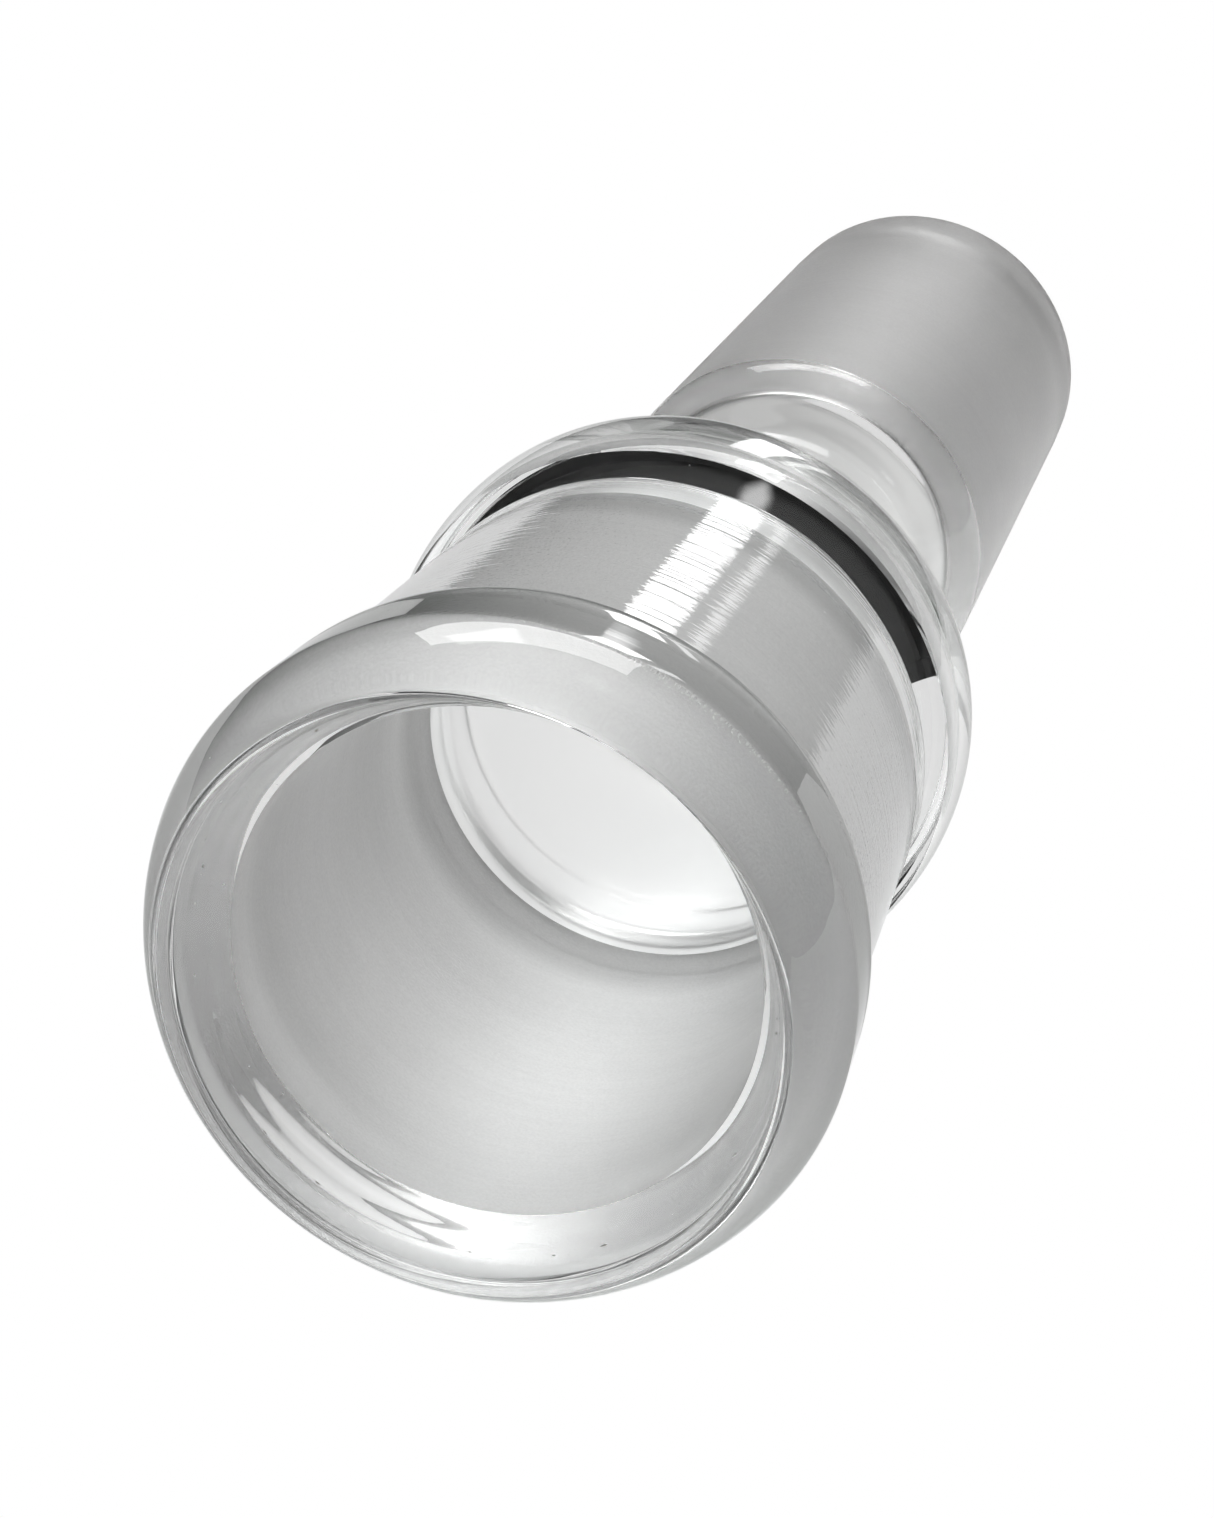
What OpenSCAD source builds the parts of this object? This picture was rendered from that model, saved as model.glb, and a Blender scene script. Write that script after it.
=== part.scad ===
// Ground-glass joint adapter: a wide socket with a rolled rim at one end and a
// narrow ground cone at the other, fused from worked sections of clear glass.
// The axis runs along +Y. The origin is the centre of the socket's mouth.

/* [Rim] */
// Outside diameter of the rolled rim
rim_d = 25; // [24.4:0.1:26]
// Length of the rim, from the mouth to the crease behind it
rim_len = 7.4; // [7:0.1:8]
// Diameter of the lip's sharp edge, inside the mouth
lip_d = 20.5; // [20.2:0.1:20.8]
// Width of the flat land on the front of the rim
land_w = 0.3; // [0.2:0.1:0.6]

/* [Socket] */
// Diameter of the ground bore where the grinding starts
socket_d = 18.8; // [18.6:0.1:19]
// Depth at which the grinding starts
grind_start = 2.7; // [2:0.1:3.2]
// Depth of the ground bore's inner edge
grind_end = 21.8; // [21.6:0.1:22]
// Diameter of that inner edge
inner_edge_d = 16.4; // [16.2:0.1:16.6]
// Outside diameter of the tube at the crease
tube_front_d = 23; // [22.6:0.1:23.4]
// Outside diameter of the tube at the ring
tube_back_d = 20.1; // [19.9:0.1:20.4]
// Distance from the mouth to the end of the tube
tube_end = 22.2; // [22.1:0.1:22.6]

/* [Ring] */
// Outside diameter of the support ring
ring_d = 21.5; // [21:0.1:22.4]
// Width of the ring's bead along the axis
ring_w = 4.4; // [4.2:0.1:4.6]

/* [Neck] */
// Outside diameter of the neck
neck_d = 10.6; // [10:0.1:11.2]
// Diameter of the bore through the neck
neck_bore = 7.6; // [7:0.1:8]
// Where the neck starts, behind the socket's shoulder
neck_start = 31.6; // [31.2:0.1:32.4]
// Where the neck ends, at the flare of the cone
neck_end = 38.4; // [37.6:0.1:38.8]

/* [Cone] */
// Diameter of the cone at its wide end
cone_d = 14.5; // [14.3:0.1:14.7]
// Length of the ground cone
cone_len = 20; // [19:0.1:21]
// Wall of the cone
cone_wall = 1.5; // [1.3:0.05:1.6]
// Distance from the mouth to the cone's tip
overall = 62.3; // [62:0.1:63.3]
// Rounding of the cone's end
tip_round = 0.6; // [0.4:0.05:0.7]
// Length of the rounded end piece
tip_len = 1.8; // [1.4:0.1:2.4]

/* [Hidden] */
$fn = 96;
steps = 16;                 // steps in each rounded stretch
joint_slope = 0.05;         // a 1:10 taper, as radius lost per length
lip_y = 1.2;                // depth of the lip's sharp edge
land_in = 10.8;             // inner radius of the land on the front of the rim
rim_power = 1.5;            // shape of the rim's front: 2 is an ellipse, less is flatter
rim_r = rim_d / 2;
rim_round = 3.2;            // depth of the rim's rounded front
rim_back = 6.2;             // where the rim's back starts to turn in
rim_draft = 0.35;           // how much the rim narrows before it turns in
back_drop = 0.6;            // drop from the rim's back to the crease
curl_start = 20.3;          // where the ground wall starts to curl inwards
dome_end = 29.9;            // where the inner dome meets the neck's bore
dome_power = 1.8;           // shape of the inner dome: 1 is a cone, 2 is an ellipse
seat_r = 8.9;               // radius that the ring is fused on
seat_end = 25.8;            // fold behind the ring, at the end of its seat
groove_r = 9.3;             // radius at the bottom of the groove in front of the ring
groove_end = 24;            // where that groove ends
ring_centre = 25.6;         // middle of the ring's bead
bead_h = 0.52;              // height of the ring's bead over its own middle
bead_start = -55;           // angles of the bead's front and back ends
bead_stop = 108;
cone_start = overall - cone_len;
bore_flare_start = neck_end + 1;
tip_start = overall - tip_len;

glass = [0.86, 0.89, 0.89, 0.45];
frosted = [0.78, 0.79, 0.79, 0.9];

function bore_r(y) = socket_d / 2 - joint_slope * (y - grind_start);
function cone_r(y) = cone_d / 2 - joint_slope * (y - cone_start);
function cone_in(y) = cone_r(y) - cone_wall;
// A quarter of an ellipse round [cr, cy], from angle a0 to a1
function bend(cr, cy, rr, ry, a0, a1) =
    [for (i = [0:steps]) let (a = a0 + (a1 - a0) * i / steps) [cr + rr * cos(a), cy + ry * sin(a)]];
// The same with a superellipse
function squared(cr, cy, rr, ry, a0, a1, n, count = steps) =
    [for (i = [0:count]) let (a = a0 + (a1 - a0) * i / count, c = cos(a), s = sin(a))
        [cr + rr * sign(c) * pow(abs(c), 2 / n), cy + ry * sign(s) * pow(abs(s), 2 / n)]];
// An S-shaped change of radius from [r0, y0] to [r1, y1]
function ease(r0, y0, r1, y1) =
    [for (i = [0:steps]) let (s = i / steps) [r0 + (r1 - r0) * (1 - cos(180 * s)) / 2, y0 + (y1 - y0) * s]];
function flip(list) = [for (i = [len(list) - 1:-1:0]) list[i]];

curl_r = (bore_r(curl_start) - inner_edge_d / 2) / 0.86;
curl_mid = bore_r(curl_start) - curl_r;
dome_r = (inner_edge_d - neck_bore) / 2;
dome_len = dome_end - grind_end;
dome = squared(neck_bore / 2, grind_end, dome_r, dome_len, 0, 90, dome_power, 24);
seam = len([for (p = dome) if (p[1] <= tube_end) p]) - 1;
curl_angle = acos(0.14);
curl_len = (grind_end - curl_start) / sin(curl_angle);

// Turns a profile of [radius, distance from the mouth] round the axis
module turned(profile) {
    rotate([-90, 0, 0]) rotate_extrude() polygon(profile);
}

// Thick rolled rim round the mouth, with a clear lip and the first ground stretch inside
module rim_bead() {
    front = squared(land_in + land_w, rim_round, rim_r - land_in - land_w, rim_round, -90, 0, rim_power);
    back_r = rim_r - rim_draft - back_drop;
    back = bend(back_r, rim_back, back_drop, rim_len - rim_back - 0.1, 0, 80);
    inside = [[bore_r(rim_len), rim_len], [bore_r(grind_start), grind_start]];
    lip = [[lip_d / 2, lip_y], [land_in, 0]];
    color(glass) turned(concat(front, back, [[tube_front_d / 2, rim_len]], inside, lip));
}

// Socket's tube: tapered outside, ground bore that curls in to a crisp edge
module socket_tube() {
    curl = bend(curl_mid, curl_start, curl_r, curl_len, 0, curl_angle);
    inner = [for (i = [1:seam]) dome[i]];
    outside = [[tube_back_d / 2, tube_end], [tube_front_d / 2, rim_len]];
    color(frosted) turned(concat([[bore_r(rim_len), rim_len]], curl, inner, outside));
}

// Closed-in end of the socket, from the ring's seat down to the neck
module socket_shoulder() {
    inner = [for (i = [seam:len(dome) - 1]) dome[i]];
    outside = flip(ease(seat_r, seat_end, neck_d / 2, neck_start));
    color(glass) turned(concat(inner, [[neck_bore / 2, neck_start]], outside, [[seat_r, tube_end]]));
}

// Bead of glass pushed up round the socket's end, with a groove before it and a fold behind it
module support_ring() {
    groove = ease(tube_back_d / 2, tube_end, groove_r, groove_end);
    bead = bend(ring_d / 2 - bead_h, ring_centre, bead_h, ring_w / 2, bead_start, bead_stop);
    color(glass) turned(concat([[seat_r, tube_end]], groove, bead, [[seat_r, seat_end]]));
}

// Straight waist between the socket and the cone
module neck_tube() {
    outside = [[neck_d / 2, neck_end], [neck_d / 2, neck_start]];
    inside = [[neck_bore / 2, neck_start], [neck_bore / 2, neck_end]];
    color(glass) turned(concat(outside, inside));
}

// Rounded flare from the neck to the cone's wide end
module cone_shoulder() {
    outside = ease(neck_d / 2, neck_end, cone_d / 2, cone_start);
    bore = ease(neck_bore / 2, bore_flare_start, cone_in(cone_start), cone_start);
    color(glass) turned(concat(outside, flip(bore), [[neck_bore / 2, neck_end]]));
}

// Ground cone that fits a standard socket
module ground_cone() {
    outside = [[cone_r(tip_start), tip_start], [cone_d / 2, cone_start]];
    inside = [[cone_in(cone_start), cone_start], [cone_in(tip_start), tip_start]];
    color(frosted) turned(concat(outside, inside));
}

// Fire-rounded end of the cone
module tip_rim() {
    outer = bend(cone_r(overall) - tip_round, overall - tip_round, tip_round, tip_round, 0, 90);
    inner = bend(cone_in(overall) + tip_round / 2, overall - tip_round, tip_round / 2, tip_round, 90, 180);
    root = [[cone_in(tip_start), tip_start], [cone_r(tip_start), tip_start]];
    color(frosted) turned(concat(root, outer, inner));
}

rim_bead();
socket_tube();
socket_shoulder();
support_ring();
neck_tube();
cone_shoulder();
ground_cone();
tip_rim();
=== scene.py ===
"""Looks of the ground glass joint adapter: one high-resolution turned shell for each worked
section of glass, clear and ground glass materials, and a pale light table with soft light.
Everything is in metres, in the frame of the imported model: the axis runs along +Y."""
import math

import bpy
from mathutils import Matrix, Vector


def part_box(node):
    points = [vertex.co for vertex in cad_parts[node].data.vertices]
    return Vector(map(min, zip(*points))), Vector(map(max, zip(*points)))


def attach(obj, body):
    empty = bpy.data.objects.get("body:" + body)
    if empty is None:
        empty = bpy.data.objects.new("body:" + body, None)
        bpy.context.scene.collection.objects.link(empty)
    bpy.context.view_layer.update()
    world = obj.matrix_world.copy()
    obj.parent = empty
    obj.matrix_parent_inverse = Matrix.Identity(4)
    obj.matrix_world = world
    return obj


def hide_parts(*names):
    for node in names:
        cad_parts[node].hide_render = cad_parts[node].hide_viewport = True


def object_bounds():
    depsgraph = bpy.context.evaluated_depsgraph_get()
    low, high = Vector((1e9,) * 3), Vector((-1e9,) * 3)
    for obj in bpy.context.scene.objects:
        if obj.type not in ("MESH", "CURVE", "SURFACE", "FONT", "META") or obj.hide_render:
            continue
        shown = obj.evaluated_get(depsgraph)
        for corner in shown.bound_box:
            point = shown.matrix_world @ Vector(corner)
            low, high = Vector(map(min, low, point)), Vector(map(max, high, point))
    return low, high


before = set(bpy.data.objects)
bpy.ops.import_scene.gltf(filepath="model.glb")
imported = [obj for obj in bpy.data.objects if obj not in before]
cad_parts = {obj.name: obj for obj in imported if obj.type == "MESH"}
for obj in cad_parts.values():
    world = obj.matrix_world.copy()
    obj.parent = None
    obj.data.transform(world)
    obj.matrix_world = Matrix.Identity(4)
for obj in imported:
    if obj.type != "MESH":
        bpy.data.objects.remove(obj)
CAD_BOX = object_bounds()
MM = 0.001
MICRON = 0.001 * MM

# ---------------------------------------------------------------- sizes read from the frame
RIM_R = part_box("rim_bead")[1].x
RIM_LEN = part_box("rim_bead")[1].y
TUBE_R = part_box("socket_tube")[1].x
TUBE_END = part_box("socket_tube")[1].y
SEAT_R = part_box("socket_shoulder")[1].x
RING_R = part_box("support_ring")[1].x
NECK_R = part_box("neck_tube")[1].x
NECK_START, NECK_END = (corner.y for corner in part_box("neck_tube"))
CONE_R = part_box("ground_cone")[1].x
CONE_START, TIP_START = (corner.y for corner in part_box("ground_cone"))
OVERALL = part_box("tip_rim")[1].y

# ---------------------------------------------------------------- sizes that the boxes don't give
# Mouth: flat land, sharp lip and rounded rim.
LAND_IN, LAND_OUT = 10.8 * MM, 11.1 * MM
LIP_R, LIP_Y = 10.25 * MM, 1.2 * MM
RIM_ROUND, RIM_POWER = 3.2 * MM, 1.5
RIM_BACK, BACK_DROP = 6.2 * MM, 0.6 * MM
BACK_R = RIM_R - 0.35 * MM
BACK_END = RIM_LEN - 0.1 * MM
BACK_ANGLE = 80

# Socket: 1:10 ground bore, curl at its end and flattened dome down to the neck's bore.
TAPER = 0.05
GRIND_R, GRIND_START = 9.4 * MM, 2.7 * MM
CURL_START, CURL_COS = 20.3 * MM, 0.14
EDGE_R, EDGE_Y = 8.2 * MM, 21.8 * MM
DOME_END, DOME_POWER = 29.9 * MM, 1.8
BORE_R = 3.8 * MM
TUBE_BACK_R = 10.05 * MM

# Support ring: groove in front, bead, and fold behind.
GROOVE_R, GROOVE_END = 9.3 * MM, 24.0 * MM
BEAD_H, BEAD_HALF = 0.52 * MM, 2.2 * MM
BEAD_R, BEAD_Y = RING_R - BEAD_H, 25.6 * MM
BEAD_TURN = (-55, 108)
FOLD = (SEAT_R, 25.8 * MM)

# Cone and tip.
CONE_WALL = 1.5 * MM
BORE_FLARE_START = NECK_END + 1.0 * MM
TIP_ROUND = 0.6 * MM

# Marks of the work: ridges of the hand tool, lathe marks and chips on the lip.
RIM_RIDGES = {"height": 0.012 * MM, "pitch": 1.43 * MM, "shift": 0.6}
LIP_RIDGES = {"height": 0.012 * MM, "pitch": 1.1 * MM}
LAND_RIDGES = {"height": 0.0216 * MM, "pitch": 1.1 * MM, "shift": 0.3}
NECK_RIDGES = {"height": 0.09 * MM, "pitch": 1.7 * MM, "shift": 0.2}
FLARE_RIDGES = {"height": 0.09 * MM, "pitch": 1.7 * MM}
LATHE_DEPTH = 1.5 * MICRON
CHIP_COUNT, CHIP_SIZE = 34, 0.07 * MM
CHIP_CORNERS = ((1, 0, 0), (-1, 0, 0), (0, 1, 0), (0, -1, 0), (0, 0, 1), (0, 0, -1))
CHIP_FACES = (
    (0, 2, 4), (2, 1, 4), (1, 3, 4), (3, 0, 4),
    (2, 0, 5), (1, 2, 5), (3, 1, 5), (0, 3, 5),
)

SEGMENTS = 256
ARC_STEPS = 28


def bore_r(y):
    """Radius of the socket's ground bore at a depth."""
    return GRIND_R - TAPER * (y - GRIND_START)


def cone_r(y):
    """Outside radius of the ground cone."""
    return CONE_R - TAPER * (y - CONE_START)


def line(*points, steps=6):
    """Points along straight stretches, so that normals stay even."""
    out = []
    for (r0, y0), (r1, y1) in zip(points[:-1], points[1:]):
        out += [(r0 + (r1 - r0) * i / steps, y0 + (y1 - y0) * i / steps) for i in range(steps)]
    return out + [points[-1]]


def bend(r, y, half_r, half_y, start, end, steps=ARC_STEPS):
    """Part of an ellipse round (r, y), from one angle to another in degrees."""
    angles = [math.radians(start + (end - start) * i / steps) for i in range(steps + 1)]
    return [(r + half_r * math.cos(a), y + half_y * math.sin(a)) for a in angles]


def squared(r, y, half_r, half_y, start, end, power, steps=ARC_STEPS):
    """Like bend, but a superellipse: a power under 2 is flatter, over 2 is squarer."""
    out = []
    for angle in (math.radians(start + (end - start) * i / steps) for i in range(steps + 1)):
        c, s = math.cos(angle), math.sin(angle)
        c, s = (math.copysign(abs(v) ** (2 / power), v) for v in (c, s))
        out.append((r + half_r * c, y + half_y * s))
    return out


def ease(r0, y0, r1, y1, steps=ARC_STEPS):
    """An S-shaped change of radius."""
    shares = [i / steps for i in range(steps + 1)]
    return [(r0 + (r1 - r0) * (1 - math.cos(math.pi * s)) / 2, y0 + (y1 - y0) * s) for s in shares]


def worked(points, height, pitch, shift=0.0):
    """Adds the faint ridges of a tool along a stretch. They only sink into the glass."""
    out, length = [], 0.0
    for i, (r, y) in enumerate(points):
        (r0, y0), (r1, y1) = points[max(i - 1, 0)], points[min(i + 1, len(points) - 1)]
        step = math.hypot(r1 - r0, y1 - y0)
        if i:
            length += math.hypot(r - points[i - 1][0], y - points[i - 1][1])
        edge = min(1.0, 4.0 * min(i, len(points) - 1 - i) / len(points))
        wave = 0.5 - 0.5 * math.cos(2 * math.pi * (length / pitch + shift))
        uneven = 0.6 + 0.4 * math.sin(1.7 * length / pitch + 5.0 * shift)
        depth = height * wave * uneven * edge
        out.append((r - depth * (y1 - y0) / step, y + depth * (r1 - r0) / step))
    return out


def lathed(points, height):
    """Fine uneven turning marks: a repeatable scatter of depth from ring to ring."""
    out = []
    for i, (r, y) in enumerate(points):
        scatter = 0.5 + 0.5 * math.sin(12.9898 * i + 78.233 * math.sin(4.1 * i))
        out.append((r - height * scatter, y) if 0 < i < len(points) - 1 else (r, y))
    return out


def turned(name, stretches, node):
    """Turns a closed profile round the Y axis. Each stretch is (material key, points), and its
    ends are hard edges. The piece stands for a CAD node and rides on the only body."""
    keys = sorted({key for key, _ in stretches})
    loop, marks, corners = [], [], set()
    for key, points in stretches:
        corners.add(len(loop))
        loop += points[:-1]
        marks += [keys.index(key)] * (len(points) - 1)
    turns = [2 * math.pi * s / SEGMENTS for s in range(SEGMENTS)]
    verts = [(r * math.cos(a), y, r * math.sin(a)) for r, y in loop for a in turns]
    count = len(loop)
    area = sum(loop[i - 1][0] * loop[i][1] - loop[i][0] * loop[i - 1][1] for i in range(count))
    faces = []
    for i in range(count):
        j = (i + 1) % count
        for s in range(SEGMENTS):
            t = (s + 1) % SEGMENTS
            face = (i * SEGMENTS + s, i * SEGMENTS + t, j * SEGMENTS + t, j * SEGMENTS + s)
            faces.append(face[::-1] if area > 0 else face)
    mesh = bpy.data.meshes.new(name)
    mesh.from_pydata(verts, [], faces)
    for key in keys:
        mesh.materials.append(MATERIALS[key])
    mesh.polygons.foreach_set("material_index", [mark for mark in marks for _ in turns])
    mesh.polygons.foreach_set("use_smooth", [True] * len(faces))
    rings = [[v // SEGMENTS for v in edge.vertices] for edge in mesh.edges]
    sharp = mesh.attributes.new("sharp_edge", "BOOLEAN", "EDGE")
    sharp.data.foreach_set("value", [a == b and a in corners for a, b in rings])
    mesh.validate()
    piece = bpy.data.objects.new(name, mesh)
    bpy.context.scene.collection.objects.link(piece)
    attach(piece, "root")
    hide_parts(node)


# ---------------------------------------------------------------- materials
GLASS_IOR = 1.474
CLEAR_TINT = (0.99, 0.993, 0.99, 1.0)
SHADOW_TINT = (0.9, 0.91, 0.91, 1.0)
GROUND_CLEARNESS = 0.6
CLOUD_SHARE = 0.5
BORE_COLOURS = (0.80, 0.795, 0.79), (0.93, 0.925, 0.92)
CONE_COLOURS = (0.89, 0.885, 0.88), (0.98, 0.975, 0.97)
TIP_COLOURS = (0.88, 0.875, 0.87), (0.97, 0.965, 0.96)
# The bore's colour is darker towards the mouth, from the start of the grinding to 12 mm in.
BORE_DARKER_AT_MOUTH = (GRIND_START, 12 * MM, 0.78, 1.0)
# Painted shade: the bore's colour darkens where the bore curls in to the dome.
PAINTED_CURL_SHADE = (18.6 * MM, 20.6 * MM, 1.0, 0.64)
BORE_TONES = (BORE_DARKER_AT_MOUTH, PAINTED_CURL_SHADE)
TIP_SHADE = 0.82
CONE_TONES = ((58.2 * MM, 60.2 * MM, 1.0, TIP_SHADE),)
TIP_TONES = ((60.6 * MM, 61.6 * MM, TIP_SHADE, 1.0),)
# Painted shade: glass seen edge on is darkened towards this dark green-grey, partly the tint of a long
# path through thick glass.
PAINTED_EDGE_SHADE = (0.06, 0.072, 0.062, 1.0)
THIN_EDGE_SHADE, THICK_EDGE_SHADE = (0.68, 0.95), (0.5, 0.85)
DUST_SPACING, DUST_SIZE, DUST_ROUGHNESS = 1.7 * MM, 0.05 * MM, 0.7
DIRT = (0.16, 0.11, 0.07)
BROKEN_GLASS = (0.75, 0.74, 0.72)
BROKEN_GRAIN, BROKEN_ROUGHNESS = 1.2 * MM, 0.6

# Relief of each surface: size of the grain across and along the axis, then its depth.
CLEAR_WAVES = (7 * MM, 2.2 * MM, 1.8 * MICRON)
CLEAR_RINGS = (9 * MM, 0.35 * MM, 0.3 * MICRON)
LATHE_RINGS = (9 * MM, 0.21 * MM, 9 * MICRON)
LATHE_SCUFFS = (2.5 * MM, 0.12 * MM, 1.2 * MICRON)
LATHE_WEAR, LATHE_ROUGHNESS = (6 * MM, 0.5 * MM), (0.004, 0.02)
GRAIN_SIZE, GRAIN_DEPTH = 0.11 * MM, 9 * MICRON
CLOUD_SIZE = 3.5 * MM
GRIND_RINGS, GRIND_TONE = (12 * MM, 0.25 * MM), 0.08


class Tree:
    """A small helper that makes and links a material's nodes."""

    def __init__(self, name):
        self.material = bpy.data.materials.new(name)
        self.material.use_nodes = True
        self.nodes = self.material.node_tree.nodes
        self.nodes.clear()
        self.output = self.add("ShaderNodeOutputMaterial")

    def add(self, kind, **settings):
        node = self.nodes.new(kind)
        for key, value in settings.items():
            setattr(node, key, value)
        return node

    def link(self, source, target):
        self.material.node_tree.links.new(source, target)


def glass_shader(tree, roughness):
    """Glass that bends light, and lets lamps' light through for shadows."""
    shader = tree.add("ShaderNodeBsdfPrincipled")
    shader.inputs["Base Color"].default_value = CLEAR_TINT
    shader.inputs["Roughness"].default_value = roughness
    shader.inputs["IOR"].default_value = GLASS_IOR
    shader.inputs["Transmission Weight"].default_value = 1.0
    path = tree.add("ShaderNodeLightPath")
    clear = tree.add("ShaderNodeBsdfTransparent")
    clear.inputs["Color"].default_value = SHADOW_TINT
    mix = tree.add("ShaderNodeMixShader")
    tree.link(path.outputs["Is Shadow Ray"], mix.inputs[0])
    tree.link(shader.outputs[0], mix.inputs[1])
    tree.link(clear.outputs[0], mix.inputs[2])
    tree.link(mix.outputs[0], tree.output.inputs["Surface"])
    return shader


def surface_noise(tree, across, along, detail=2.0):
    """Noise over the surface, with its grain in metres across and along the axis."""
    coords = tree.add("ShaderNodeTexCoord")
    stretch = tree.add("ShaderNodeMapping")
    stretch.inputs["Scale"].default_value = (1 / across, 1 / along, 1 / across)
    noise = tree.add("ShaderNodeTexNoise")
    noise.inputs["Scale"].default_value = 1.0
    noise.inputs["Detail"].default_value = detail
    tree.link(coords.outputs["Object"], stretch.inputs["Vector"])
    tree.link(stretch.outputs["Vector"], noise.inputs["Vector"])
    return noise.outputs["Fac"]


def relief(tree, across, along, depth, detail=2.0, below=None):
    """Bump of noise with a given grain and depth in metres, on top of another bump."""
    bump = tree.add("ShaderNodeBump")
    bump.inputs["Strength"].default_value = 1.0
    bump.inputs["Distance"].default_value = depth
    tree.link(surface_noise(tree, across, along, detail), bump.inputs["Height"])
    if below:
        tree.link(below, bump.inputs["Normal"])
    return bump.outputs["Normal"]


def spread(tree, value, low, high, to_low, to_high, **settings):
    """Maps a range of a value to another range."""
    node = tree.add("ShaderNodeMapRange", **settings)
    tree.link(value, node.inputs["Value"])
    ends = {"From Min": low, "From Max": high, "To Min": to_low, "To Max": to_high}
    for name, number in ends.items():
        node.inputs[name].default_value = number
    return node.outputs["Result"]


def blend(tree, share, first, second):
    """A mix of two colours by a share from 0 to 1."""
    node = tree.add("ShaderNodeMix", data_type="RGBA")
    ends = [socket for socket in node.inputs if socket.type == "RGBA"]
    ends[0].default_value = first
    ends[1].default_value = second
    tree.link(share, node.inputs[0])
    return [socket for socket in node.outputs if socket.type == "RGBA"][0]


def specks(tree, spacing, size):
    """1 in a few tiny dots, 0 elsewhere."""
    coords = tree.add("ShaderNodeTexCoord")
    cells = tree.add("ShaderNodeTexVoronoi")
    cells.inputs["Scale"].default_value = 1 / spacing
    tree.link(coords.outputs["Object"], cells.inputs["Vector"])
    return spread(tree, cells.outputs["Distance"], size / spacing, 0.5 * size / spacing, 0.0, 1.0)


def paint_edge_shade(tree, shader, start, end):
    """Painted shade where the glass is seen edge on: a dark green-grey, partly the tint of a long path
    through thick glass, mostly painted dark edges.
    """
    view = tree.add("ShaderNodeLayerWeight")
    view.inputs["Blend"].default_value = 0.5
    share = spread(tree, view.outputs["Facing"], start, end, 0.0, 1.0)
    tree.link(blend(tree, share, CLEAR_TINT, PAINTED_EDGE_SHADE), shader.inputs["Base Color"])


def clear_glass(name, haze=0.0, edge=THIN_EDGE_SHADE):
    """Fire-polished glass: slightly wavy, with a few specks of dust, and painted shade on its edges
    where it is seen edge on.
    """
    tree = Tree(name)
    shader = glass_shader(tree, haze)
    paint_edge_shade(tree, shader, *edge)
    dust = specks(tree, DUST_SPACING, DUST_SIZE)
    tree.link(spread(tree, dust, 0.0, 1.0, haze, DUST_ROUGHNESS), shader.inputs["Roughness"])
    waves = relief(tree, *CLEAR_WAVES)
    tree.link(relief(tree, *CLEAR_RINGS, below=waves), shader.inputs["Normal"])
    return tree.material


def lathe_glass():
    """Clear glass with fine rings left by the lathe."""
    tree = Tree("lathe_glass")
    shader = glass_shader(tree, 0.0)
    rings = relief(tree, *LATHE_RINGS, detail=1.0)
    scuffs = relief(tree, *LATHE_SCUFFS, detail=0.0, below=rings)
    tree.link(scuffs, shader.inputs["Normal"])
    dust = specks(tree, DUST_SPACING, DUST_SIZE)
    worn = spread(tree, surface_noise(tree, *LATHE_WEAR), 0.35, 0.7, *LATHE_ROUGHNESS)
    most = tree.add("ShaderNodeMath", operation="MAXIMUM")
    tree.link(worn, most.inputs[0])
    tree.link(spread(tree, dust, 0.0, 1.0, 0.0, DUST_ROUGHNESS), most.inputs[1])
    tree.link(most.outputs[0], shader.inputs["Roughness"])
    return tree.material


def depth_tone(tree, start, end, to_start, to_end):
    """A number that changes smoothly along the axis, between two depths."""
    coords = tree.add("ShaderNodeTexCoord")
    split = tree.add("ShaderNodeSeparateXYZ")
    tree.link(coords.outputs["Object"], split.inputs[0])
    depth = split.outputs["Y"]
    return spread(tree, depth, start, end, to_start, to_end, interpolation_type="SMOOTHSTEP")


def scaled(tree, colour, factor):
    """A colour times a number."""
    node = tree.add("ShaderNodeVectorMath", operation="SCALE")
    tree.link(colour, node.inputs[0])
    tree.link(factor, node.inputs["Scale"])
    return node.outputs["Vector"]


def ground_glass(name, dark, light, roughness, tones):
    """Ground glass: a fine matt grain, faint clouds and faint grinding rings. Each of the
    tones darkens it along the axis, as (start, end, factor at start, factor at end)."""
    tree = Tree(name)
    shader = glass_shader(tree, roughness)
    shader.inputs["Transmission Weight"].default_value = GROUND_CLEARNESS
    grain = surface_noise(tree, GRAIN_SIZE, GRAIN_SIZE, detail=3.0)
    clouds = surface_noise(tree, CLOUD_SIZE, CLOUD_SIZE)
    rings = surface_noise(tree, *GRIND_RINGS)
    total = tree.add("ShaderNodeMath", operation="ADD")
    uneven = tree.add("ShaderNodeMath", operation="MULTIPLY_ADD")
    uneven.inputs[1].default_value = CLOUD_SHARE
    tree.link(clouds, uneven.inputs[0])
    tree.link(grain, uneven.inputs[2])
    tree.link(uneven.outputs[0], total.inputs[0])
    tree.link(spread(tree, rings, 0.3, 0.7, -GRIND_TONE, GRIND_TONE), total.inputs[1])
    share_light = spread(tree, total.outputs[0], 0.45, 1.05, 0.0, 1.0)
    colour = blend(tree, share_light, (*dark, 1.0), (*light, 1.0))
    for stretch in tones:
        colour = scaled(tree, colour, depth_tone(tree, *stretch))
    tree.link(colour, shader.inputs["Base Color"])
    matt = relief(tree, GRAIN_SIZE, GRAIN_SIZE, GRAIN_DEPTH, detail=3.0)
    tree.link(matt, shader.inputs["Normal"])
    return tree.material


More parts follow.
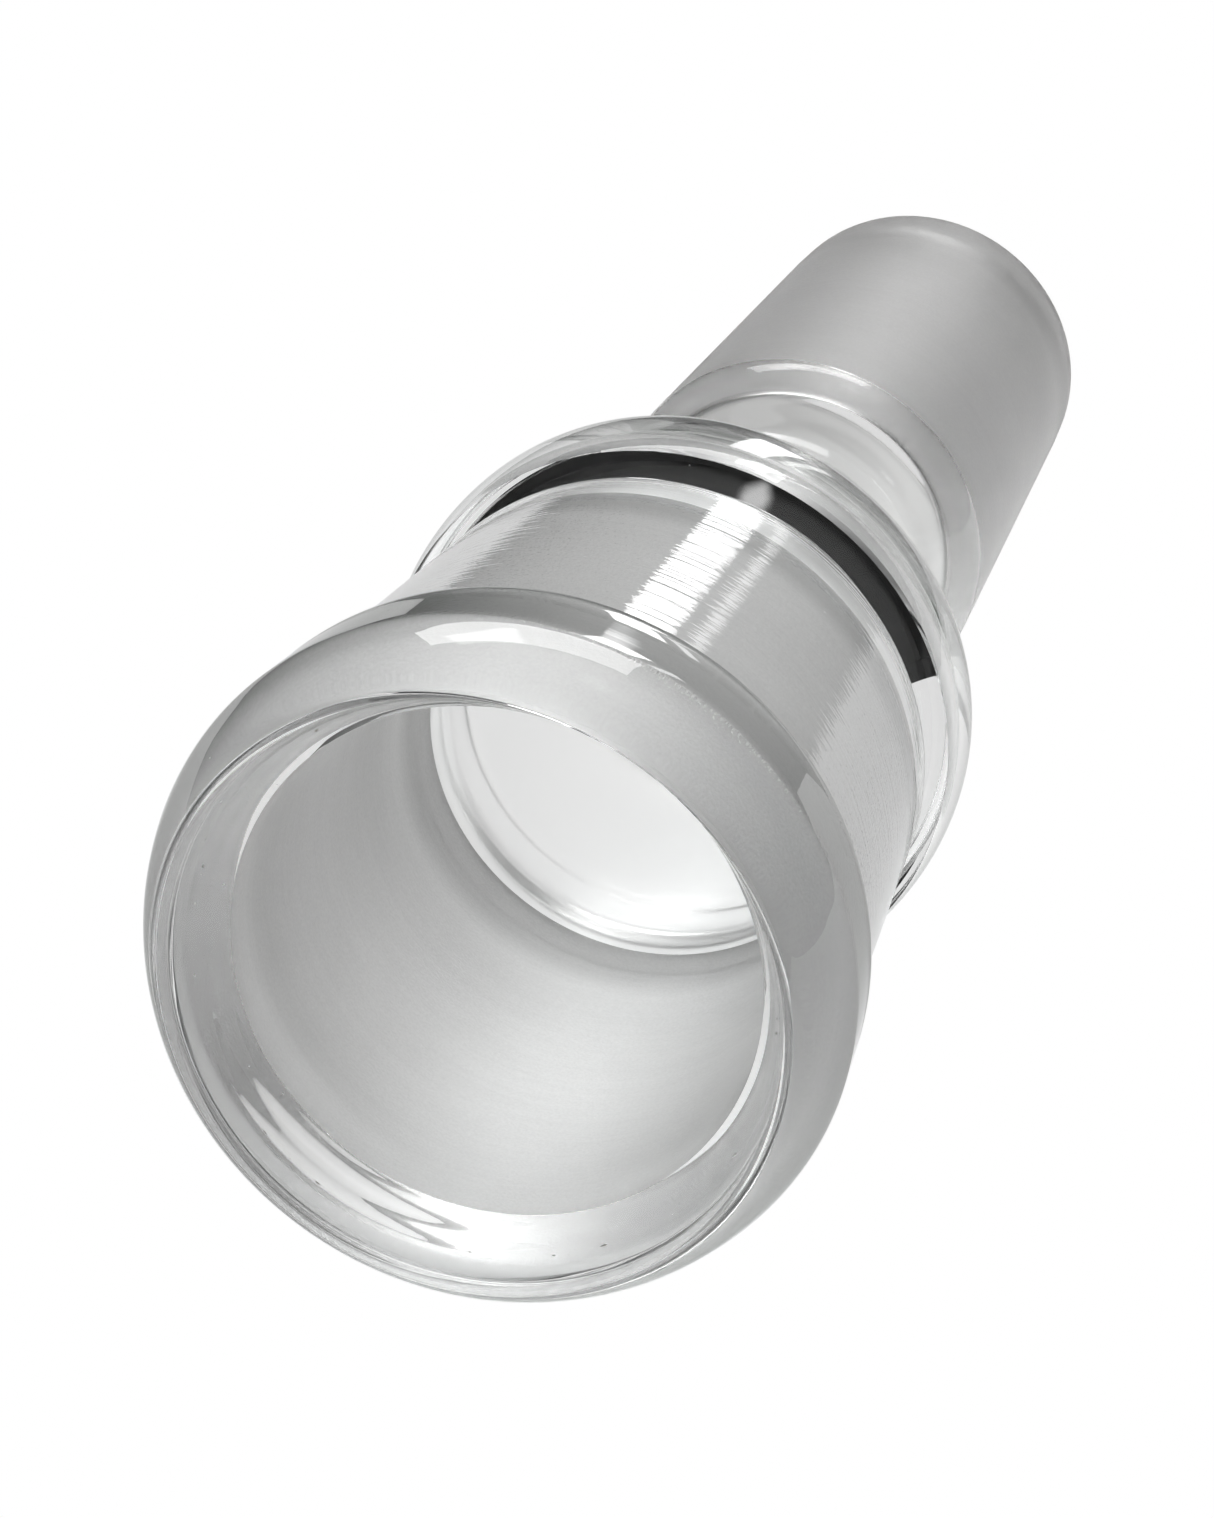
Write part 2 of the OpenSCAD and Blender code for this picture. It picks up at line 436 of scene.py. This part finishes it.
def chipped():
    """Rough broken glass with brown dirt in it."""
    tree = Tree("chipped_edge")
    shader = tree.add("ShaderNodeBsdfPrincipled")
    shader.inputs["Roughness"].default_value = BROKEN_ROUGHNESS
    share = spread(tree, surface_noise(tree, BROKEN_GRAIN, BROKEN_GRAIN), 0.4, 0.6, 0.0, 1.0)
    tree.link(blend(tree, share, (*DIRT, 1.0), (*BROKEN_GLASS, 1.0)), shader.inputs["Base Color"])
    tree.link(shader.outputs[0], tree.output.inputs["Surface"])
    return tree.material


def seam():
    """The face where two sections are fused: nothing shows there."""
    tree = Tree("fused_seam")
    open_glass = tree.add("ShaderNodeBsdfTransparent")
    tree.link(open_glass.outputs[0], tree.output.inputs["Surface"])
    return tree.material


MATERIALS = {
    "clear": clear_glass("clear_glass"),
    "thick": clear_glass("thick_glass", edge=THICK_EDGE_SHADE),
    "hazy": clear_glass("hazy_glass", 0.11),
    "lathe": lathe_glass(),
    "ground": ground_glass("ground_bore", *BORE_COLOURS, 0.7, BORE_TONES),
    "soft": clear_glass("softened_glass", 0.3),
    "satin": ground_glass("ground_cone", *CONE_COLOURS, 0.6, CONE_TONES),
    "tip": ground_glass("soft_ground_tip", *TIP_COLOURS, 0.55, TIP_TONES),
    "chip": chipped(),
    "seam": seam(),
}


# ---------------------------------------------------------------- pieces
CURL_HALF = (bore_r(CURL_START) - EDGE_R) / (1 - CURL_COS)
CURL_MID = bore_r(CURL_START) - CURL_HALF
CURL_ANGLE = math.degrees(math.acos(CURL_COS))
CURL_LEN = (EDGE_Y - CURL_START) / math.sin(math.radians(CURL_ANGLE))
DOME = squared(BORE_R, EDGE_Y, EDGE_R - BORE_R, DOME_END - EDGE_Y, 0, 90, DOME_POWER, steps=60)
SEAM = max(i for i, point in enumerate(DOME) if point[1] <= TUBE_END)


def rim_bead():
    """Rolled rim with the land, the sharp lip and the start of the ground bore."""
    front = squared(LAND_OUT, RIM_ROUND, RIM_R - LAND_OUT, RIM_ROUND, -90, 0, RIM_POWER, steps=56)
    front = worked(front, **RIM_RIDGES)
    back = bend(BACK_R - BACK_DROP, RIM_BACK, BACK_DROP, BACK_END - RIM_BACK, 0, BACK_ANGLE)
    crease = (TUBE_R, RIM_LEN)
    root = (bore_r(RIM_LEN), RIM_LEN)
    start, lip, land = (GRIND_R, GRIND_START), (LIP_R, LIP_Y), (LAND_IN, 0.0)
    outside = front + line(front[-1], back[0])[1:-1] + back + [crease]
    stretches = [
        ("thick", outside),
        ("seam", [crease, root]),
        ("ground", line(root, start)),
        ("clear", worked(line(start, lip, steps=24), **LIP_RIDGES)),
        ("clear", worked(line(lip, land, steps=24), **LAND_RIDGES)[:-1] + [land, front[0]]),
    ]
    turned("glass_rim", stretches, "rim_bead")


def socket_tube():
    """Tapered tube, ground inside and curled in at its end."""
    root = (bore_r(RIM_LEN), RIM_LEN)
    curl = bend(CURL_MID, CURL_START, CURL_HALF, CURL_LEN, 0, CURL_ANGLE)
    back, crease = (TUBE_BACK_R, TUBE_END), (TUBE_R, RIM_LEN)
    stretches = [
        ("ground", line(root, curl[0], steps=12)),
        ("ground", curl),
        ("soft", [curl[-1]] + DOME[1:SEAM + 1]),
        ("seam", [DOME[SEAM], back]),
        ("lathe", lathed(line(back, crease, steps=110), LATHE_DEPTH)),
        ("seam", [crease, root]),
    ]
    turned("glass_socket", stretches, "socket_tube")


def socket_shoulder():
    """Domed end of the socket, drawn down to the neck."""
    bore_end = (BORE_R, NECK_START)
    outside = ease(*FOLD, NECK_R, NECK_START)
    stretches = [
        ("soft", DOME[SEAM:] + line(DOME[-1], bore_end)[1:]),
        ("seam", [bore_end, outside[-1]]),
        ("clear", outside[::-1]),
        ("seam", [FOLD, (SEAT_R, TUBE_END)]),
        ("seam", [(SEAT_R, TUBE_END), DOME[SEAM]]),
    ]
    turned("glass_shoulder", stretches, "socket_shoulder")


BEAD = bend(BEAD_R, BEAD_Y, BEAD_H, BEAD_HALF, *BEAD_TURN, steps=40)


def support_ring():
    """Bead of glass, undercut by the groove in front and the fold behind."""
    groove = ease(TUBE_BACK_R, TUBE_END, GROOVE_R, GROOVE_END)
    low = (SEAT_R, TUBE_END)
    stretches = [
        ("seam", [low, groove[0]]),
        ("clear", groove),
        ("clear", [groove[-1], BEAD[0]]),
        ("clear", BEAD),
        ("clear", line(BEAD[-1], FOLD)),
        ("seam", [FOLD, low]),
    ]
    turned("glass_ring", stretches, "support_ring")


def neck_tube():
    """Straight waist with its bore."""
    corners = [(NECK_R, NECK_END), (NECK_R, NECK_START), (BORE_R, NECK_START), (BORE_R, NECK_END)]
    stretches = [
        ("hazy", worked(line(corners[0], corners[1], steps=40), **NECK_RIDGES)),
        ("seam", [corners[1], corners[2]]),
        ("clear", line(corners[2], corners[3])),
        ("seam", [corners[3], corners[0]]),
    ]
    turned("glass_neck", stretches, "neck_tube")


def cone_shoulder():
    """Flare from the neck to the cone."""
    outside = worked(ease(NECK_R, NECK_END, CONE_R, CONE_START, steps=48), **FLARE_RIDGES)
    inner_r = cone_r(CONE_START) - CONE_WALL
    bore = ease(BORE_R, BORE_FLARE_START, inner_r, CONE_START)[::-1]
    stretches = [
        ("hazy", outside),
        ("seam", [outside[-1], bore[0]]),
        ("clear", bore + [(BORE_R, NECK_END)]),
        ("seam", [(BORE_R, NECK_END), outside[0]]),
    ]
    turned("glass_flare", stretches, "cone_shoulder")


def ground_cone():
    """Ground 1:10 cone."""
    a, b = (cone_r(TIP_START), TIP_START), (CONE_R, CONE_START)
    c = (cone_r(CONE_START) - CONE_WALL, CONE_START)
    d = (cone_r(TIP_START) - CONE_WALL, TIP_START)
    stretches = [
        ("satin", line(a, b, steps=12)),
        ("seam", [b, c]),
        ("clear", line(c, d, steps=12)),
        ("seam", [d, a]),
    ]
    turned("glass_cone", stretches, "ground_cone")


def tip_rim():
    """Flame-softened end of the cone."""
    tip_y = OVERALL - TIP_ROUND
    outer = bend(cone_r(OVERALL) - TIP_ROUND, tip_y, TIP_ROUND, TIP_ROUND, 0, 90)
    inner_r = cone_r(OVERALL) - CONE_WALL + TIP_ROUND / 2
    inner = bend(inner_r, tip_y, TIP_ROUND / 2, TIP_ROUND, 90, 180)
    a = (cone_r(TIP_START) - CONE_WALL, TIP_START)
    b = (cone_r(TIP_START), TIP_START)
    stretches = [
        ("seam", [a, b]),
        ("tip", [b] + outer + inner),
        ("clear", line(inner[-1], a)),
    ]
    turned("glass_tip", stretches, "tip_rim")


def lip_chips():
    """Tiny chips and grains of dirt on the sharp edge of the lip."""
    mesh = bpy.data.meshes.new("lip_chips")
    verts, faces = [], []
    for i in range(CHIP_COUNT):
        turn = math.radians(i * 360 / CHIP_COUNT + 9 * math.sin(7.3 * i))
        size = CHIP_SIZE * (0.55 + 0.45 * math.sin(3.9 * i))
        r, y = LIP_R + 0.2 * size * math.sin(5.1 * i), LIP_Y - 0.1 * size
        out = Vector((math.cos(turn), 0, math.sin(turn)))
        along = Vector((-math.sin(turn), 0, math.cos(turn)))
        middle = out * r + Vector((0, y, 0))
        reach = (0.5 * size, (1.4 + math.sin(2.3 * i)) * size, 0.45 * size)
        corners = []
        for k, (a, b, c) in enumerate(CHIP_CORNERS):
            uneven = 1 + 0.3 * math.sin(11.0 * i + 2.7 * k)
            corner = middle + out * a * reach[0] * uneven + along * b * reach[1] * uneven
            corners.append(corner + Vector((0, c * reach[2] * uneven, 0)))
        first = len(verts)
        verts += [tuple(corner) for corner in corners]
        faces += [tuple(first + v for v in face) for face in CHIP_FACES]
    mesh.from_pydata(verts, [], faces)
    mesh.materials.append(MATERIALS["chip"])
    chips = bpy.data.objects.new("lip_chips", mesh)
    bpy.context.scene.collection.objects.link(chips)
    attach(chips, "root")


rim_bead()
socket_tube()
socket_shoulder()
support_ring()
neck_tube()
cone_shoulder()
ground_cone()
tip_rim()
lip_chips()


# ---------------------------------------------------------------- stage, light and camera
FLOOR_Z = CAD_BOX[0].z
CAMERA_AT = Vector((70.8, -229.3, 114.1)) * MM
CAMERA_AIM = Vector((-2.49, 25.0, -2.18)) * MM
LENS = 188.5
TABLE_EDGE = -40 * MM
TABLE_LEFT, TABLE_RIGHT = -500 * MM, 130 * MM
TABLE_GLOW = 0.5
TABLE_HALF = 1.6
LIT_GREY, UNLIT_GREY = 0.86, 0.008
WALL_LOW, WALL_TOP = 0.002, 0.004
LIGHT_AIM = Vector((0, 0.02, 0))
LAMP = {"azimuth": -12, "elevation": 51, "distance": 0.9, "width": 0.7, "height": 0.26, "radiance": 4.3}
# Bright patches in the room: azimuth, elevation, half width, half height, level, softness of the edge.
PATCHES = (
    (-0.5, 24, 3.6, 9, 6.0, 0.6),
    (7, 22, 1.0, 8, 3.0, 0.8),
    (-27, 53, 7, 5, 3.0, 2),
    (37, 69, 4, 3, 0.5, 4),
)
BOUNCES, CLEAR_BOUNCES = 24, 64


def toward(azimuth, elevation):
    """The direction at an azimuth from +Y, turning to +X, and a height above the horizon."""
    a, e = math.radians(azimuth), math.radians(elevation)
    return Vector((math.sin(a) * math.cos(e), math.cos(a) * math.cos(e), math.sin(e)))


def table_sheet(name, grey, glow_level):
    """Matt sheet of a light table. The camera sees it as plain white."""
    tree = Tree(name)
    matt = tree.add("ShaderNodeBsdfDiffuse")
    matt.inputs["Color"].default_value = (grey, grey, grey, 1)
    backlight = tree.add("ShaderNodeEmission")
    backlight.inputs["Strength"].default_value = glow_level
    sheet = tree.add("ShaderNodeAddShader")
    white = tree.add("ShaderNodeEmission")
    path = tree.add("ShaderNodeLightPath")
    mix = tree.add("ShaderNodeMixShader")
    tree.link(matt.outputs[0], sheet.inputs[0])
    tree.link(backlight.outputs[0], sheet.inputs[1])
    tree.link(path.outputs["Is Camera Ray"], mix.inputs[0])
    tree.link(sheet.outputs[0], mix.inputs[1])
    tree.link(white.outputs[0], mix.inputs[2])
    tree.link(mix.outputs[0], tree.output.inputs["Surface"])
    return tree.material


def white_table():
    """A table top, lit under and behind the object; in front of it and to its right it is painted
    nearly black, a painted shade that the glass sees and the camera doesn't.
    """
    mesh = bpy.data.meshes.new("floor")
    rows = (-TABLE_HALF, TABLE_EDGE, TABLE_HALF)
    columns = (-TABLE_HALF, TABLE_LEFT, TABLE_RIGHT, TABLE_HALF)
    corners = [(x, y, FLOOR_Z) for y in rows for x in columns]
    cells = [(i, i + 1, i + 5, i + 4) for i in (0, 1, 2, 4, 5, 6)]
    mesh.from_pydata(corners, [], cells)
    # Painted shade: the cells in front of the object and to its right are nearly black to everything
    # but the camera.
    mesh.materials.append(table_sheet("table_front_painted_shade", UNLIT_GREY, 0.0))
    mesh.materials.append(table_sheet("table_lit", LIT_GREY, TABLE_GLOW))
    mesh.polygons.foreach_set("material_index", [0, 0, 0, 0, 1, 0])
    floor = bpy.data.objects.new("floor", mesh)
    bpy.context.scene.collection.objects.link(floor)


def softbox(name, azimuth, elevation, distance, width, height, radiance):
    """An area light that faces the object and shows in the glass."""
    away = toward(azimuth, elevation)
    light = bpy.data.lights.new(name, "AREA")
    light.shape = "RECTANGLE"
    light.size, light.size_y = width, height
    light.energy = radiance * math.pi * width * height
    lamp = bpy.data.objects.new(name, light)
    lamp.location = LIGHT_AIM + away * distance
    lamp.rotation_mode = "QUATERNION"
    lamp.rotation_quaternion = away.to_track_quat("Z", "Y")
    bpy.context.scene.collection.objects.link(lamp)


class Sky(Tree):
    """The room round the table, drawn by direction: grey levels and bright patches."""

    def __init__(self):
        world = bpy.data.worlds.new("studio")
        bpy.context.scene.world = world
        world.use_nodes = True
        self.material = world
        self.nodes = world.node_tree.nodes
        self.nodes.clear()
        self.output = self.add("ShaderNodeOutputWorld")
        self.level = None
        coords = self.add("ShaderNodeTexCoord")
        self.direction = coords.outputs["Generated"]

    def math(self, operation, *values):
        node = self.add("ShaderNodeMath", operation=operation)
        for socket, value in zip(node.inputs, values):
            if isinstance(value, (int, float)):
                socket.default_value = value
            else:
                self.link(value, socket)
        return node.outputs[0]

    def dot(self, vector):
        node = self.add("ShaderNodeVectorMath", operation="DOT_PRODUCT")
        self.link(self.direction, node.inputs[0])
        node.inputs[1].default_value = vector
        return node.outputs["Value"]

    def fade(self, value, start, end):
        node = self.add("ShaderNodeMapRange", interpolation_type="SMOOTHSTEP")
        self.link(value, node.inputs["Value"])
        node.inputs["From Min"].default_value = start
        node.inputs["From Max"].default_value = end
        return node.outputs[0]

    def patch(self, azimuth, elevation, half_width, half_height, level, soft):
        """A rectangle of light, sizes in degrees."""
        ahead = toward(azimuth, elevation)
        right = ahead.cross(Vector((0, 0, 1))).normalized()
        up = right.cross(ahead)
        depth = self.math("MAXIMUM", self.dot(ahead), 0.0001)
        mask = self.fade(depth, 0.01, 0.05)
        for axis, half in ((right, half_width), (up, half_height)):
            offset = self.math("ABSOLUTE", self.math("DIVIDE", self.dot(axis), depth))
            outer, inner = (math.tan(math.radians(half + side * soft)) for side in (0.5, -0.5))
            mask = self.math("MULTIPLY", mask, self.fade(offset, outer, inner))
        self.add_level(self.math("MULTIPLY", mask, level))

    def add_level(self, value):
        self.level = value if self.level is None else self.math("ADD", self.level, value)

    def finish(self):
        back = self.add("ShaderNodeBackground")
        back.inputs["Color"].default_value = (1, 1, 1, 1)
        self.link(self.level, back.inputs["Strength"])
        self.link(back.outputs[0], self.output.inputs["Surface"])


def room():
    """Nearly black walls, a little lighter high up behind the object, and the bright patches."""
    sky = Sky()
    height = sky.dot(Vector((0, 0, 1)))
    behind = sky.fade(sky.dot(Vector((0, 1, 0))), -0.15, 0.45)
    walls = sky.math("MULTIPLY", sky.math("MULTIPLY", sky.fade(height, 0.15, 0.8), behind), WALL_TOP)
    sky.add_level(sky.math("ADD", walls, WALL_LOW))
    for patch in PATCHES:
        sky.patch(*patch)
    sky.finish()


def camera():
    """The photograph's point of view."""
    data = bpy.data.cameras.new("camera")
    data.lens = LENS
    data.sensor_width = 36.0
    eye = bpy.data.objects.new("camera", data)
    eye.location = CAMERA_AT
    eye.rotation_mode = "QUATERNION"
    eye.rotation_quaternion = (CAMERA_AT - CAMERA_AIM).to_track_quat("Z", "Y")
    bpy.context.scene.collection.objects.link(eye)
    bpy.context.scene.camera = eye


white_table()
softbox("overhead", **LAMP)
room()
camera()
bpy.context.scene.view_settings.view_transform = "Standard"
bpy.context.scene.cycles.max_bounces = BOUNCES
bpy.context.scene.cycles.transmission_bounces = BOUNCES
bpy.context.scene.cycles.transparent_max_bounces = CLEAR_BOUNCES
